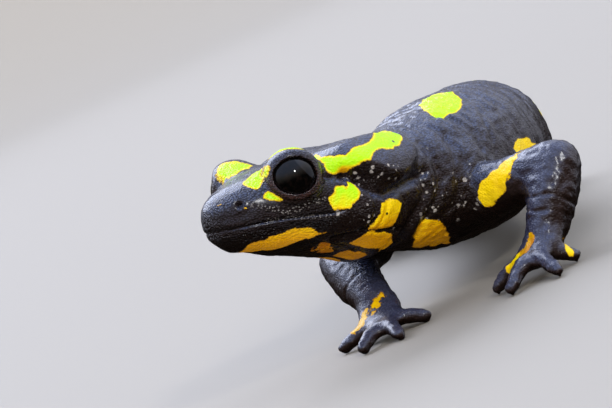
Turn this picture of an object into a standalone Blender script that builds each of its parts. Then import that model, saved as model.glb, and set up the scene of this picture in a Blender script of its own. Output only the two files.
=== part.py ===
# Fire salamander, life size, standing still with its chest raised and its head up and turned to its right.
#
# The body is a loft along one bent centre line, cut into head, neck, torso and three lengths of tail.
# Each leg is an upper part, a lower part and a foot with toes. The eyeballs sit in sockets under the lids.
# Head towards -X, the animal's left towards -Y, up +Z, with the floor at Z = 0 and metres as the unit.

import math

import bmesh
import bpy
import numpy as np
from mathutils import Matrix, Vector

MM = 0.001
GAP = 0.3 * MM  # clear space between two nodes that touch
MERGE = 0.001 * MM

# The centre line, read back from the snout tip. All distances along it are in millimetres.
SNOUT = Vector((-46.4, 3.4, 23.0)) * MM
BODY_LENGTH = 176.0
HEAD_END = 24.3  # the gular fold
NECK_END = 29.5
TORSO_END = 98.0
TAIL_CUTS = (122.0, 148.0)

# Way the tail-ward direction points, in degrees from +X towards the animal's right.
HEADING = (
    (0.0, -25.5),
    (22.0, -25.5),
    (28.0, -20.0),
    (34.0, -10.0),
    (41.0, -1.0),
    (50.0, 9.0),
    (60.0, 20.0),
    (72.0, 29.0),
    (86.0, 32.0),
    (98.0, 30.0),
    (112.0, 24.0),
    (128.0, 16.0),
    (144.0, 12.0),
    (160.0, 16.0),
    (176.0, 28.0),
)

# Height of the centre line over the floor. The head rises to the snout, and the tail lies on the floor.
HEIGHT = (
    (0.0, 23.0),
    (12.0, 20.1),
    (24.0, 17.25),
    (30.0, 15.8),
    (36.0, 14.7),
    (45.0, 13.7),
    (58.0, 12.9),
    (72.0, 11.9),
    (84.0, 10.7),
    (96.0, 8.6),
    (106.0, 6.5),
    (118.0, 4.9),
    (132.0, 4.0),
    (148.0, 2.9),
    (164.0, 1.75),
    (176.0, 0.9),
)

# Lean of the body about the centre line, in degrees, left side down.
ROLL = ((0.0, 4.0), (24.0, 4.0), (34.0, 1.5), (44.0, 0.0), (176.0, 0.0))

# Distance, half width, top and bottom over and under the line, and height of the widest level. The blunt
# snout starts a little behind the line's own start.
PROFILE = (
    (0.55, 0.0, 0.0, 0.7, -0.35),
    (0.7, 0.9, 0.45, 1.3, -0.4),
    (1.1, 1.75, 0.95, 2.0, -0.5),
    (1.8, 2.65, 1.5, 3.0, -0.7),
    (2.9, 3.7, 2.1, 3.9, -0.9),
    (4.4, 4.8, 2.75, 4.6, -1.0),
    (6.5, 5.9, 3.45, 5.3, -1.1),
    (9.5, 7.0, 4.2, 6.0, -1.2),
    (13.0, 7.9, 4.8, 6.7, -1.2),
    (17.0, 8.5, 5.3, 7.4, -1.1),
    (20.5, 8.4, 5.5, 7.8, -1.0),
    (24.3, 7.7, 5.6, 7.9, -0.8),
    (28.0, 7.8, 6.1, 8.2, -0.6),
    (33.0, 8.8, 7.2, 8.8, -0.5),
    (40.0, 10.2, 8.7, 9.3, -0.5),
    (50.0, 11.1, 9.1, 9.4, -0.5),
    (62.0, 10.6, 8.2, 8.9, -0.5),
    (75.0, 9.6, 7.4, 7.9, -0.4),
    (87.0, 8.1, 6.7, 6.7, -0.2),
    (98.0, 6.2, 5.8, 5.4, 0.0),
    (110.0, 5.2, 5.1, 5.0, 0.0),
    (122.0, 4.6, 4.8, 4.9, 0.0),
    (136.0, 3.8, 4.1, 4.1, 0.0),
    (150.0, 2.8, 3.3, 3.2, 0.0),
    (163.0, 1.7, 2.2, 2.2, 0.0),
    (172.0, 0.9, 1.2, 1.4, 0.0),
    (176.0, 0.0, 0.0, 0.0, 0.0),
)
BOXINESS = 2.25  # 2 is an ellipse

# Swellings and folds on both sides: distance, half length, angle from the crown, half angle, height.
PAROTOID = (19.4, 7.6, 52.0, 28.0, 1.8)
PAROTOID_CREASE = (20.4, 7.0, 86.0, 15.0, -0.55)
JAW_MUSCLE = (17.5, 5.0, 112.0, 34.0, 0.7)
GULAR_FOLD = (24.3, 1.5, 180.0, 118.0, -0.9)
THROAT = (20.5, 4.5, 180.0, 60.0, 0.7)
SHOULDER = (33.0, 5.5, 112.0, 46.0, 1.0)
HIP = (88.5, 7.0, 108.0, 50.0, 1.0)
CLOACA = (97.0, 5.5, 180.0, 52.0, 1.0)
SWELLINGS = (PAROTOID, PAROTOID_CREASE, JAW_MUSCLE, GULAR_FOLD, THROAT, SHOULDER, HIP, CLOACA)
COSTAL_FIRST, COSTAL_PITCH, COSTAL_COUNT = 38.5, 4.3, 11
COSTAL_HALF_LENGTH, COSTAL_ANGLE, COSTAL_HALF_ANGLE, COSTAL_DEPTH = 1.5, 98.0, 62.0, -0.45
TAIL_RING_FIRST, TAIL_RING_PITCH, TAIL_RING_COUNT, TAIL_RING_DEPTH = 103.0, 4.8, 12, -0.22

# Eyes and nostrils, in millimetres: back from the snout tip, out to the side, and up.
EYE_AT = (9.45, 5.5, 2.12)
EYE_RADIUS = 2.8
LID_RADIUS = 3.4
LID_RISE = 0.18  # how far over the eye the middle of the lids lies
SOCKET_CLEARANCE = 0.25
EYE_GAZE = (-0.45, 0.85, 0.14)
LID_OPENING = (2.6, 2.15)  # half its length and half its height
NOSTRIL_AT = (2.85, 3.8, 0.25)
NOSTRIL_RADIUS = 0.45

# The mouth is a level slit round the snout, this far under the snout tip.
MOUTH_LEVEL = -2.1
MOUTH_CORNER = 14.0
MOUTH_DEPTH = 0.5
MOUTH_HEIGHT = 0.2

# Legs, in millimetres in the same frame as SNOUT: shoulder or hip, elbow or knee, wrist or ankle, then the
# middle of the knuckles, and the toe tips on the floor. Sizes are half thickness and half width along a leg.
FRONT_LEG = ((3.3, 3.6), (2.9, 3.2), (2.8, 3.1), (2.8, 3.2), (2.0, 2.7))
HIND_LEG = ((3.9, 4.3), (3.3, 3.6), (2.8, 3.1), (2.6, 3.0), (1.7, 2.5))
PALM = ((1.6, 2.4), (1.45, 2.7), (1.15, 2.5))
LEGS = {
    "foreleg_left": {
        "joints": ((-18.4, -15.4, 10.2), (-20.4, -28.4, 10.8), (-24.6, -25.2, 4.3)),
        "sizes": FRONT_LEG,
        "knuckles": (-28.0, -23.6, 2.5),
        "toes": ((-33.5, -21.4), (-29.4, -18.2), (-32.6, -27.7), (-26.4, -28.4)),
    },
    "foreleg_right": {
        "joints": ((-17.6, -2.4, 10.2), (-19.5, 2.2, 8.6), (-26.0, -2.8, 4.0)),
        "sizes": FRONT_LEG,
        "knuckles": (-29.6, -4.2, 1.7),
        "toes": ((-29.2, -9.8), (-35.6, -8.0), (-36.4, -3.0), (-30.6, 2.0)),
    },
    "hindleg_left": {
        "joints": ((38.6, 5.2, 8.6), (37.3, -5.4, 8.9), (43.6, -4.6, 4.2)),
        "sizes": HIND_LEG,
        "knuckles": (40.8, -6.2, 1.6),
        "toes": ((36.8, -2.4), (34.8, -5.6), (34.9, -8.4), (37.2, -9.7), (40.4, -9.4)),
    },
    "hindleg_right": {
        "joints": ((35.4, 10.2, 8.6), (36.2, 21.2, 9.0), (43.8, 21.8, 4.2)),
        "sizes": HIND_LEG,
        "knuckles": (44.8, 25.4, 1.6),
        "toes": ((39.4, 25.4), (39.6, 29.4), (43.4, 32.2), (47.8, 32.2), (50.8, 28.8)),
    },
}
TOE_RADIUS = 0.95
TOE_TIP_RADIUS = 0.8
TOE_SINK = 0.35  # how much of a toe's underside the floor flattens
TOE_START = 0.9  # how far past the knuckles' middle a toe starts
TOE_ARCH_AT, TOE_ARCH, TOE_ARCH_BY_DROP = 0.45, 0.55, 0.25
TOE_STATIONS = ((0, 1), (0.2, 1), (0.4, 1), (0.6, 1), (0.8, 1), (0.9, 1), (0.97, 0.8), (1, 0.45))

# How finely each loft is divided: distance between rings in millimetres, and points around.
NOSE_RINGS = (0.15, 0.5, 1.0, 1.7)  # distances of the first rings behind the pole of the snout
HEAD_GRAIN = (1.05, 36)
NECK_GRAIN = (1.0, 28)
TORSO_GRAIN = (1.43, 26)
TAIL_GRAIN = (2.4, 16)
BODY_CUTTER_GRAIN = (2.5, 32)
LEG_RINGS, LEG_SIDES = 5, 14
LEG_TURNS = [side * 2 * math.pi / LEG_SIDES for side in range(LEG_SIDES)]
CAP_TURNS = (0.5, 1.0)  # where a limb's rounded end has its rings, in radians


def smooth(table, at):
    """Columns of a table of (distance, value, ...) rows, read at distances on a smooth curve."""
    rows = np.array(table, float)
    knots, values = rows[:, 0], rows[:, 1:]
    slopes = np.gradient(values, knots, axis=0)
    at = np.clip(np.atleast_1d(at), knots[0], knots[-1])
    low = np.clip(np.searchsorted(knots, at, side="right") - 1, 0, len(knots) - 2)
    span = (knots[low + 1] - knots[low])[:, None]
    t = (at - knots[low])[:, None] / span
    start = values[low] * (1 + 2 * t) * (1 - t) ** 2 + slopes[low] * span * t * (1 - t) ** 2
    end = values[low + 1] * t**2 * (3 - 2 * t) + slopes[low + 1] * span * t**2 * (t - 1)
    return start + end


def bump(offset):
    """1 at the middle, 0 at 1 either side, and smooth between."""
    return np.where(np.abs(offset) < 1, np.cos(np.clip(offset, -1, 1) * math.pi / 2) ** 2, 0.0)


LINE_STEP = 0.25
LINE_AT = np.arange(0.0, BODY_LENGTH + LINE_STEP, LINE_STEP)


def centre_line():
    """Points of the centre line in metres, one for each of LINE_AT."""
    height = smooth(HEIGHT, LINE_AT)[:, 0]
    slope = np.gradient(height, LINE_AT)
    heading = np.radians(smooth(HEADING, LINE_AT)[:, 0])
    flat = np.sqrt(1 - slope**2) * LINE_STEP
    x = np.concatenate([[0], np.cumsum((np.cos(heading) * flat)[:-1])])
    y = np.concatenate([[0], np.cumsum((np.sin(heading) * flat)[:-1])])
    return np.stack([x + SNOUT.x / MM, y + SNOUT.y / MM, height], axis=1) * MM


LINE = centre_line()


def frame_at(distance):
    """Centre, and the back, left and up directions, of the body at a distance from the snout."""
    centre = Vector([np.interp(distance, LINE_AT, LINE[:, axis]) for axis in range(3)])
    heading = math.radians(smooth(HEADING, distance)[0, 0])
    ahead = np.interp(distance + LINE_STEP, LINE_AT, LINE[:, 2])
    behind = np.interp(distance - LINE_STEP, LINE_AT, LINE[:, 2])
    slope = (ahead - behind) / (2 * LINE_STEP * MM)
    flat = math.sqrt(1 - slope**2)
    back = Vector((math.cos(heading) * flat, math.sin(heading) * flat, slope))
    left = Vector((math.sin(heading), -math.cos(heading), 0))
    lean = Matrix.Rotation(math.radians(smooth(ROLL, distance)[0, 0]), 3, back)
    left = lean @ left
    return centre, back, left, left.cross(back).normalized()


def relief(distance, angle):
    """Height of the swellings and folds of the skin, in millimetres, at angles from the crown in degrees."""
    height = np.zeros_like(angle)
    for at, reach, middle, width, rise in SWELLINGS:
        height += rise * bump((distance - at) / reach) * bump((angle - middle) / width)
    for number in range(COSTAL_COUNT):
        groove = bump((distance - COSTAL_FIRST - number * COSTAL_PITCH) / COSTAL_HALF_LENGTH)
        height += COSTAL_DEPTH * groove * bump((angle - COSTAL_ANGLE) / COSTAL_HALF_ANGLE)
    for number in range(TAIL_RING_COUNT):
        groove = bump((distance - TAIL_RING_FIRST - number * TAIL_RING_PITCH) / COSTAL_HALF_LENGTH)
        height += TAIL_RING_DEPTH * groove * bump((angle - COSTAL_ANGLE) / COSTAL_HALF_ANGLE)
    return height


def section(distance, sides, grow=0.0):
    """Points around the body at a distance, in metres, first on the crown and then down its left side."""
    half_width, top, bottom, waist = smooth(PROFILE, distance)[0]
    around = np.arange(sides) * 2 * math.pi / sides
    sine, cosine = np.sin(around), np.cos(around)
    round_off = (np.abs(sine) ** BOXINESS + np.abs(cosine) ** BOXINESS) ** (-1 / BOXINESS)
    from_crown = np.degrees(np.minimum(around, 2 * math.pi - around))
    out = relief(distance, from_crown) + grow
    reach = np.where(cosine > 0, top - waist, bottom + waist)
    left_way = half_width * round_off * sine + out * sine
    up_way = waist + reach * round_off * cosine + out * cosine
    centre, _, left, up = frame_at(distance)
    return [centre + (left * a + up * b) * MM for a, b in zip(left_way.tolist(), up_way.tolist())]


def mesh_object(name, mesh):
    obj = bpy.data.objects.new(name, mesh)
    bpy.context.scene.collection.objects.link(obj)
    return obj


def loft(name, rings):
    """A closed solid through rings of points, where a ring of one point is a pole."""
    form = bmesh.new()
    rows = [[form.verts.new(point) for point in ring] for ring in rings]
    for near, far in zip(rows, rows[1:]):
        sides = max(len(near), len(far))
        for i in range(sides):
            j = (i + 1) % sides
            if len(near) == 1:
                form.faces.new((near[0], far[j], far[i]))
            elif len(far) == 1:
                form.faces.new((near[i], near[j], far[0]))
            else:
                form.faces.new((near[i], near[j], far[j], far[i]))
    for ring in (rows[0], rows[-1]):
        if len(ring) > 1:
            middle = form.verts.new(sum((v.co for v in ring), Vector()) / len(ring))
            for i, vert in enumerate(ring):
                form.faces.new((vert, ring[(i + 1) % len(ring)], middle))
    bmesh.ops.recalc_face_normals(form, faces=form.faces)
    mesh = bpy.data.meshes.new(name)
    form.to_mesh(mesh)
    form.free()
    return mesh_object(name, mesh)


def body_length(name, start, end, grain, grow=0.0):
    """The stretch of the body from one distance to another."""
    spacing, sides = grain
    at = np.linspace(start, end, max(2, round((end - start) / spacing) + 1))
    from_snout = start == PROFILE[0][0]
    if from_snout:
        nose = start + np.array(NOSE_RINGS)
        at = np.concatenate([nose, at[at > nose[-1] + spacing / 2]])
    if end == BODY_LENGTH:
        at = at[:-1]
    rings = [section(distance, sides, grow) for distance in at]
    if from_snout:
        rings.insert(0, [frame_at(start)[0] + frame_at(start)[3] * PROFILE[0][4] * MM])
    if end == BODY_LENGTH:
        rings.append([frame_at(BODY_LENGTH)[0]])
    return loft(name, rings)


def baked(obj):
    """The object's evaluated mesh in world space, with the object's own modifiers gone."""
    bpy.context.view_layer.update()
    graph = bpy.context.evaluated_depsgraph_get()
    mesh = bpy.data.meshes.new_from_object(obj.evaluated_get(graph))
    mesh.transform(obj.matrix_world)
    obj.modifiers.clear()
    obj.matrix_world = Matrix.Identity(4)
    obj.data = mesh
    return obj


def keep_largest(obj):
    """Drops every closed surface of a mesh but the largest."""
    form = bmesh.new()
    form.from_mesh(obj.data)
    left = set(form.faces)
    shells = []
    while left:
        shell, edge = set(), [left.pop()]
        while edge:
            face = edge.pop()
            shell.add(face)
            near = {f for e in face.edges for f in e.link_faces} & left
            left -= near
            edge.extend(near)
        shells.append(shell)
    shells.sort(key=lambda shell: sum(face.calc_area() for face in shell))
    loose = [face for shell in shells[:-1] for face in shell]
    bmesh.ops.delete(form, geom=loose, context="FACES")
    form.to_mesh(obj.data)
    form.free()
    return obj


def boolean(obj, others, operation):
    """The object joined with others, or cut by them, with the others removed."""
    group = bpy.data.collections.new("tools")
    bpy.context.scene.collection.children.link(group)
    for other in others:
        group.objects.link(other)
    modifier = obj.modifiers.new(operation.lower(), "BOOLEAN")
    modifier.operation = operation
    modifier.operand_type = "COLLECTION"
    modifier.collection = group
    modifier.solver = "EXACT"
    baked(obj)
    for other in others:
        bpy.data.objects.remove(other)
    bpy.data.collections.remove(group)
    return keep_largest(obj)


def ball(name, centre, radius, segments=20, rings=12):
    bpy.ops.mesh.primitive_uv_sphere_add(segments=segments, ring_count=rings, radius=radius, location=centre)
    bpy.context.object.name = name
    return bpy.context.object


def on_head(back_way, left_way, up_way):
    """A point given in millimetres from the snout tip, along the head's own directions."""
    centre, back, left, up = frame_at(HEAD_END / 2)
    start = centre - back * (HEAD_END / 2) * MM
    return start + (back * back_way + left * left_way + up * up_way) * MM


def head_way(back_way, left_way, up_way):
    _, back, left, up = frame_at(HEAD_END / 2)
    return (back * back_way + left * left_way + up * up_way).normalized()


def eye_centre(side):
    return on_head(EYE_AT[0], side * EYE_AT[1], EYE_AT[2])


def lid_opening(side):
    """An oval bar along the eye's gaze, which opens the lids in front of the eyeball."""
    gaze = head_way(EYE_GAZE[0], side * EYE_GAZE[1], EYE_GAZE[2])
    across = head_way(0, 0, 1).cross(gaze).normalized()
    turn = Matrix((across, gaze.cross(across), gaze)).transposed()
    length = 2 * LID_RADIUS * MM
    bpy.ops.mesh.primitive_cylinder_add(vertices=28, radius=1, depth=length)
    bar = bpy.context.object
    bar.data.transform(Matrix.Diagonal((LID_OPENING[0] * MM, LID_OPENING[1] * MM, 1, 1)))
    bar.matrix_world = Matrix.Translation(eye_centre(side) + gaze * length / 2) @ turn.to_4x4()
    return baked(bar)


def mouth_edge(sides=24):
    """The head's outline at the mouth's level, as (back, left) in millimetres, from snout to left corner."""
    edge = []
    for distance in np.linspace(PROFILE[1][0], MOUTH_CORNER, sides):
        half_width, _, bottom, waist = smooth(PROFILE, distance)[0]
        below = (waist - MOUTH_LEVEL) / (bottom + waist)
        if below < 1:
            edge.append((distance, half_width * (1 - below**BOXINESS) ** (1 / BOXINESS)))
    return edge


def mouth_slit():
    """A thin flat horseshoe, whose inner edge lies inside the lips all round the snout."""
    left_side = mouth_edge()
    wide_enough = [(back, left) for back, left in left_side if left > MOUTH_DEPTH * 1.5]
    inner = [(back + MOUTH_DEPTH, left - MOUTH_DEPTH) for back, left in wide_enough]
    inner = [(left_side[0][0] + MOUTH_DEPTH, 0.0)] + inner
    reach = MOUTH_DEPTH * 3
    outer = [(back - reach, left + reach) for back, left in left_side]
    half = inner[1:] + [(MOUTH_CORNER + MOUTH_DEPTH, left_side[-1][1] + reach)] + outer[::-1]
    other = [(back, -left) for back, left in half[::-1]]
    outline = [inner[0]] + half + other
    flat = bpy.data.curves.new("mouth_slit", "CURVE")
    flat.dimensions = "2D"
    flat.fill_mode = "BOTH"
    flat.extrude = MOUTH_HEIGHT / 2 * MM
    line = flat.splines.new("POLY")
    line.points.add(len(outline) - 1)
    for point, (back, left) in zip(line.points, outline):
        point.co = (back * MM, left * MM, 0, 1)
    line.use_cyclic_u = True
    _, back, left, up = frame_at(HEAD_END / 2)
    turn = Matrix((back, left, up)).transposed().to_4x4()
    curve = mesh_object("mouth_curve", flat)
    curve.matrix_world = Matrix.Translation(on_head(0, 0, MOUTH_LEVEL)) @ turn
    return from_curve(curve, "mouth_slit")


def from_curve(curve, name):
    """A closed mesh object in place of a curve object."""
    bpy.context.view_layer.update()
    graph = bpy.context.evaluated_depsgraph_get()
    mesh = bpy.data.meshes.new_from_object(curve.evaluated_get(graph))
    mesh.transform(curve.matrix_world)
    bpy.data.objects.remove(curve)
    form = bmesh.new()
    form.from_mesh(mesh)
    bmesh.ops.remove_doubles(form, verts=form.verts, dist=MERGE)
    bmesh.ops.recalc_face_normals(form, faces=form.faces)
    form.to_mesh(mesh)
    form.free()
    return mesh_object(name, mesh)


def head():
    """Skull and jaws in one, with lids raised round the sockets, nostrils and the slit of the mouth."""
    skull = body_length("head", PROFILE[0][0], HEAD_END - GAP / MM / 2, HEAD_GRAIN)
    over_eye = head_way(0, 0, 1) * LID_RISE * MM
    lids = [ball("lid", eye_centre(side) + over_eye, LID_RADIUS * MM) for side in (1, -1)]
    boolean(skull, lids, "UNION")
    cuts = [mouth_slit()]
    for side in (1, -1):
        cuts.append(ball("socket", eye_centre(side), (EYE_RADIUS + SOCKET_CLEARANCE) * MM))
        cuts.append(lid_opening(side))
        nostril = on_head(NOSTRIL_AT[0], side * NOSTRIL_AT[1], NOSTRIL_AT[2])
        cuts.append(ball("nostril", nostril, NOSTRIL_RADIUS * MM, 12, 8))
    return boolean(skull, cuts, "DIFFERENCE")


def eyes():
    return [
        ball(name, eye_centre(side), EYE_RADIUS * MM)
        for name, side in (("eye_left", 1), ("eye_right", -1))
    ]


def floor():
    """A block whose top is the floor, which flattens what rests on it."""
    bpy.ops.mesh.primitive_cube_add(size=1)
    block = bpy.context.object
    block.scale = (0.4, 0.4, 0.02)
    block.location = (0, 0, -0.01)
    return baked(block)


def limb(name, start, end, sizes, hinge, grow=0.0):
    """A straight length of leg with rounded ends, with sizes (thick, wide) at its start, middle and end."""
    axis = (end - start).normalized()
    over = hinge.cross(axis).normalized()
    side = axis.cross(over)
    length = (end - start).length
    stations = []
    for share in np.linspace(0, 1, LEG_RINGS).tolist():
        thick, wide = smooth(tuple(zip((0.0, 0.5, 1.0), *zip(*sizes))), share)[0] + grow
        stations.append((share * length, thick, wide))
    caps = [(math.sin(turn), math.cos(turn)) for turn in CAP_TURNS]
    _, thick, wide = stations[0]
    before = [(-thick * out, thick * size, wide * size) for out, size in caps[::-1]]
    rings = [[start - axis * thick]]
    _, end_thick, end_wide = stations[-1]
    after = [(length + end_thick * out, end_thick * size, end_wide * size) for out, size in caps]
    for along, thick, wide in before + stations + after:
        centre, up, out = start + axis * along, over * thick, side * wide
        rings.append([centre + up * math.cos(turn) + out * math.sin(turn) for turn in LEG_TURNS])
    rings.append([end + axis * end_thick])
    return loft(name, [[point * MM for point in ring] for ring in rings])


def toe(root, tip):
    """A round toe that leaves the foot, arches over and rests its blunt tip on the floor."""
    tip = Vector((*tip, TOE_TIP_RADIUS - TOE_SINK))
    flat_way = ((tip - root) * Vector((1, 1, 0))).normalized()
    root = root + flat_way * TOE_START
    arch = TOE_ARCH + TOE_ARCH_BY_DROP * (root.z - tip.z)
    knuckle = root + (tip - root) * TOE_ARCH_AT + Vector((0, 0, arch))
    line = bpy.data.curves.new("toe", "CURVE")
    line.dimensions = "3D"
    line.bevel_depth = 1
    line.bevel_resolution = 2
    line.use_fill_caps = True
    path = line.splines.new("POLY")
    path.points.add(len(TOE_STATIONS) - 1)
    for point, (share, rounding) in zip(path.points, TOE_STATIONS):
        place = root * (1 - share) ** 2 + knuckle * 2 * share * (1 - share) + tip * share**2
        radius = TOE_RADIUS + (TOE_TIP_RADIUS - TOE_RADIUS) * share
        point.co = (*(place * MM), 1)
        point.radius = radius * rounding * MM
    curve = mesh_object("toe_curve", line)
    return from_curve(curve, "toe")


def foot(name, wrist, knuckles, toes):
    """Palm from the wrist to the knuckles, with its toes."""
    way = knuckles - wrist
    hinge = way.cross(Vector((0, 0, 1))).normalized()
    palm = limb(name, wrist, knuckles, PALM, hinge)
    tips = [toe(knuckles, tip) for tip in toes]
    return boolean(palm, tips, "UNION")


def legs(body):
    """Upper part, lower part and foot of each leg, each cut clear of the one before."""
    made = []
    for name, leg in LEGS.items():
        root, middle, end = (Vector(joint) for joint in leg["joints"])
        hinge = (middle - root).cross(end - middle).normalized()
        upper = limb(name + "_upper", root, middle, leg["sizes"][:3], hinge)
        boolean(upper, [mesh_object("body", body.data.copy())], "DIFFERENCE")
        lower = limb(name + "_lower", middle, end, leg["sizes"][2:], hinge)
        boolean(lower, [limb("cutter", root, middle, leg["sizes"][:3], hinge, GAP / MM)], "DIFFERENCE")
        last = foot(name + "_foot", end, Vector(leg["knuckles"]), leg["toes"])
        boolean(last, [limb("cutter", middle, end, leg["sizes"][2:], hinge, GAP / MM)], "DIFFERENCE")
        made += [upper, lower, last]
    return made


def tail():
    cuts = (TORSO_END, *TAIL_CUTS, BODY_LENGTH)
    half_gap = GAP / MM / 2
    made = []
    for name, start, end in zip(("tail_base", "tail_middle", "tail_tip"), cuts, cuts[1:]):
        last = end if end == BODY_LENGTH else end - half_gap
        made.append(body_length(name, start + half_gap, last, TAIL_GRAIN))
    return made


def centre_over_origin(nodes):
    """Slides every node along the floor, so that the middle of the bounding box is over the origin."""
    for node in nodes:
        baked(node)
    corners = np.array([tuple(corner) for node in nodes for corner in node.bound_box])
    middle = (corners.min(axis=0) + corners.max(axis=0)) / 2
    for node in nodes:
        node.data.transform(Matrix.Translation((-middle[0], -middle[1], 0)))


def material(name, colour, roughness):
    finish = bpy.data.materials.new(name)
    finish.use_nodes = True
    shader = finish.node_tree.nodes["Principled BSDF"]
    shader.inputs["Base Color"].default_value = (*colour, 1)
    shader.inputs["Roughness"].default_value = roughness
    return finish


def main():
    for old in list(bpy.data.objects):
        bpy.data.objects.remove(old)
    half_gap = GAP / MM / 2
    flesh = [head(), body_length("neck", HEAD_END + half_gap, NECK_END - half_gap, NECK_GRAIN)]
    flesh.append(body_length("torso", NECK_END + half_gap, TORSO_END - half_gap, TORSO_GRAIN))
    body = body_length("body", HEAD_END, TAIL_CUTS[0], BODY_CUTTER_GRAIN, GAP / MM)
    flesh += tail() + legs(body)
    bpy.data.objects.remove(body)
    for node in flesh:
        if min(corner[2] for corner in node.bound_box) < 0:
            boolean(node, [floor()], "DIFFERENCE")
    balls = eyes()
    centre_over_origin(flesh + balls)
    skin = material("salamander_skin", (0.02, 0.017, 0.018), 0.35)
    eye = material("salamander_eye", (0.008, 0.006, 0.006), 0.05)
    animal = bpy.data.objects.new("fire_salamander", None)
    parts = bpy.data.collections.new("fire_salamander")
    bpy.context.scene.collection.children.link(parts)
    parts.objects.link(animal)
    for nodes, finish in ((flesh, skin), (balls, eye)):
        for node in nodes:
            for holder in list(node.users_collection):
                holder.objects.unlink(node)
            parts.objects.link(node)
            node.parent = animal
            node.data.materials.clear()
            node.data.materials.append(finish)
            node.data.shade_smooth()


main()
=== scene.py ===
import math

import bpy
import numpy as np
from mathutils import Matrix, Vector, noise


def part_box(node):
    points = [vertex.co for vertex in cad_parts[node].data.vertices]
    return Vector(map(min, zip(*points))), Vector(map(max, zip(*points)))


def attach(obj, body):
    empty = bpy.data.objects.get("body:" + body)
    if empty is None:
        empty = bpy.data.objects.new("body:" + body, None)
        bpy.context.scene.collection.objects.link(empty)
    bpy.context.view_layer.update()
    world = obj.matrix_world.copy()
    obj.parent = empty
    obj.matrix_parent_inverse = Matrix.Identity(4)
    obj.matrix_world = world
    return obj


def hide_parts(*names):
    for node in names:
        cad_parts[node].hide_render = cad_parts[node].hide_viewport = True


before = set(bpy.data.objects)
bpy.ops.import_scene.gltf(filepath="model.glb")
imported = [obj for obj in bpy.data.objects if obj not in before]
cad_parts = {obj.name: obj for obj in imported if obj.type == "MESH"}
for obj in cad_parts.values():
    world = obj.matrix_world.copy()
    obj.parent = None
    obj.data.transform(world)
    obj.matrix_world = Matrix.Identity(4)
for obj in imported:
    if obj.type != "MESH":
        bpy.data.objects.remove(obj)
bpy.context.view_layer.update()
bpy.ops.object.select_all(action="DESELECT")

# Camera
# A long lens 29 cm from the snout, to its left and a little over the animal's back. The camera is rolled, so
# that the animal stands in the picture as in the photo, though its floor is level.
MM = 0.001
CAMERA_AT = Vector((-340.72, -126.71, 44.6)) * MM
CAMERA_HEADING = math.radians(24)  # from +X towards +Y
CAMERA_DIP = math.radians(5)
CAMERA_ROLL = math.radians(24)
CAMERA_LENS = 153.5

ahead = Vector(
    (
        math.cos(CAMERA_HEADING) * math.cos(CAMERA_DIP),
        math.sin(CAMERA_HEADING) * math.cos(CAMERA_DIP),
        -math.sin(CAMERA_DIP),
    )
)
level = Vector((math.sin(CAMERA_HEADING), -math.cos(CAMERA_HEADING), 0))
upright = level.cross(ahead)
sideways = level * math.cos(CAMERA_ROLL) - upright * math.sin(CAMERA_ROLL)
above = level * math.sin(CAMERA_ROLL) + upright * math.cos(CAMERA_ROLL)
bpy.ops.object.camera_add()
camera = bpy.context.object
camera.name = "camera"
camera_turn = Matrix((sideways, above, -ahead)).transposed().to_4x4()
camera.matrix_world = Matrix.Translation(CAMERA_AT) @ camera_turn
camera.data.lens = CAMERA_LENS
camera.data.clip_start = 0.01
bpy.context.scene.camera = camera
bpy.context.scene.view_settings.view_transform = "Standard"

# Flesh under the skin
# The real animal has no seams, so the cut pieces of flesh are copied, swelled until the cuts close, joined
# with a ball in each eye socket and drawn over with an even net of small faces, which is then rubbed smooth.
SWELL = 0.22 * MM
NET = 0.58 * MM
SOCKET_ROOM = 0.35 * MM
RUB = 0.5  # share of the way to its neighbours' middle that each rub moves a place
RUBS_ALL_OVER = 4
RUBS_ON_BODY = 7
FEET_TOP = 5.6 * MM

flesh_names = [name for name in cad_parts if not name.startswith("eye")]
copies = []
for name in flesh_names:
    copy = bpy.data.objects.new(name + "_flesh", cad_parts[name].data.copy())
    bpy.context.scene.collection.objects.link(copy)
    copies.append(copy)
    copy.select_set(True)
bpy.context.view_layer.objects.active = copies[0]
bpy.ops.object.join()
skin = bpy.context.object
skin.name = "skin"
bpy.ops.object.mode_set(mode="EDIT")
bpy.ops.mesh.select_all(action="SELECT")
bpy.ops.mesh.remove_doubles(threshold=0.001 * MM)
bpy.ops.mesh.normals_make_consistent(inside=False)
bpy.ops.transform.shrink_fatten(value=SWELL)
bpy.ops.object.mode_set(mode="OBJECT")

eye_centres, eye_radius = {}, 0
for side, name in ((1, "eye_left"), (-1, "eye_right")):
    low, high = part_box(name)
    eye_centres[side] = (low + high) / 2
    eye_radius = (high - low).z / 2
for centre in eye_centres.values():
    bpy.ops.object.select_all(action="DESELECT")
    bpy.ops.mesh.primitive_uv_sphere_add(radius=eye_radius + SOCKET_ROOM, location=centre)
    bpy.context.object.select_set(True)
    skin.select_set(True)
    bpy.context.view_layer.objects.active = skin
    bpy.ops.object.join()
bpy.ops.object.transform_apply(location=True, rotation=True, scale=True)
net = skin.modifiers.new("net", "REMESH")
net.mode = "VOXEL"
net.voxel_size = NET
bpy.ops.object.modifier_apply(modifier="net")
bpy.ops.object.mode_set(mode="EDIT")
bpy.ops.mesh.select_all(action="SELECT")
bpy.ops.mesh.vertices_smooth(factor=RUB, repeat=RUBS_ALL_OVER)
bpy.ops.object.mode_set(mode="OBJECT")


def pick_vertices(chosen):
    """Selects the skin's vertices where chosen is true, in edit mode, by vertices."""
    bpy.ops.object.mode_set(mode="OBJECT")
    bpy.context.scene.tool_settings.mesh_select_mode = (True, False, False)
    skin.data.polygons.foreach_set("select", np.zeros(len(skin.data.polygons), bool))
    skin.data.edges.foreach_set("select", np.zeros(len(skin.data.edges), bool))
    skin.data.vertices.foreach_set("select", chosen)
    bpy.ops.object.mode_set(mode="EDIT")


def places():
    """The skin's vertices as rows of x, y and z."""
    found = np.empty(len(skin.data.vertices) * 3, np.float32)
    skin.data.vertices.foreach_get("co", found)
    return found.reshape(-1, 3).astype(float)


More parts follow.
